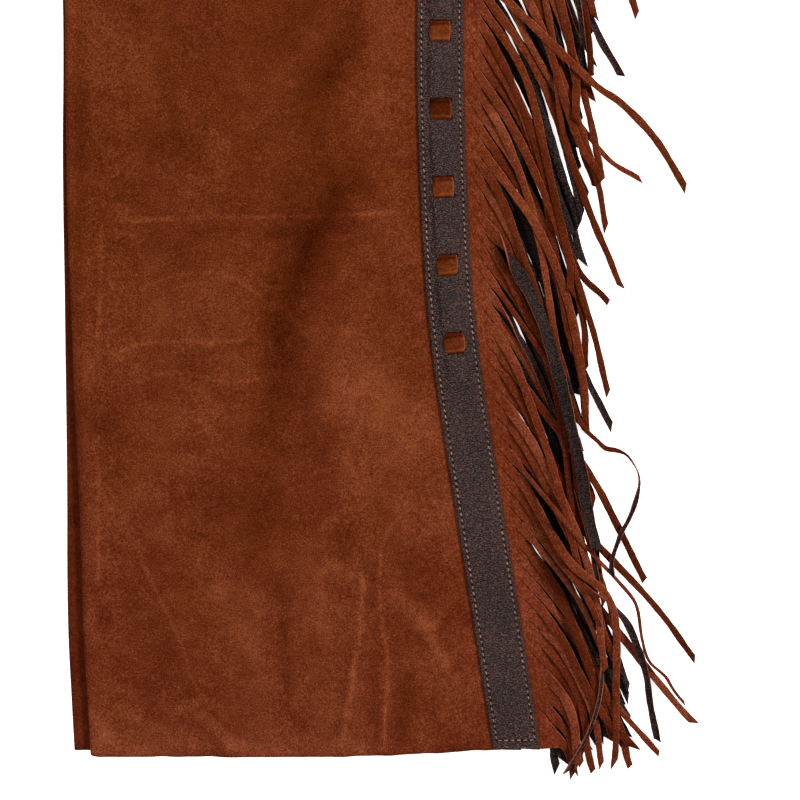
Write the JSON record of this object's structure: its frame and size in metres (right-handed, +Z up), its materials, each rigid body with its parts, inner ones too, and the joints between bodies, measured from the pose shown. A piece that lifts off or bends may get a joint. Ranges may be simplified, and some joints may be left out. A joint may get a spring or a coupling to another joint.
{
  "type": "fringed leather chaps",
  "caption": "Fringed suede leg chaps with a laced dark side strip, laid flat and folded in half, for cover over trousers when riding.",
  "frame": {"origin": "middle of the footprint, on the surface that the garment lies on", "axes": "+Y from the hem to the belt, +X from the inner leg to the fringed outer seam, +Z up from the surface"},
  "size_m": [0.4274, 1.0212, 0.0183],
  "materials": {
    "suede": "napped rust-brown suede",
    "lace_suede": "napped suede lace",
    "fringe_suede": "suede with a dark grain reverse",
    "grain_leather": "pebbled dark brown grain leather, satin",
    "buckle_metal": "brushed"
  },
  "bodies": {
    "root": {"leg_left_front": "suede", "folded_layers": "suede", "side_strip": "grain_leather", "side_lace": "lace_suede", "fringe_left": "fringe_suede", "fringe_right": "fringe_suede", "belt": "grain_leather", "belt_keeper": "grain_leather", "belt_buckle": "buckle_metal"}
  },
  "joints": []
}
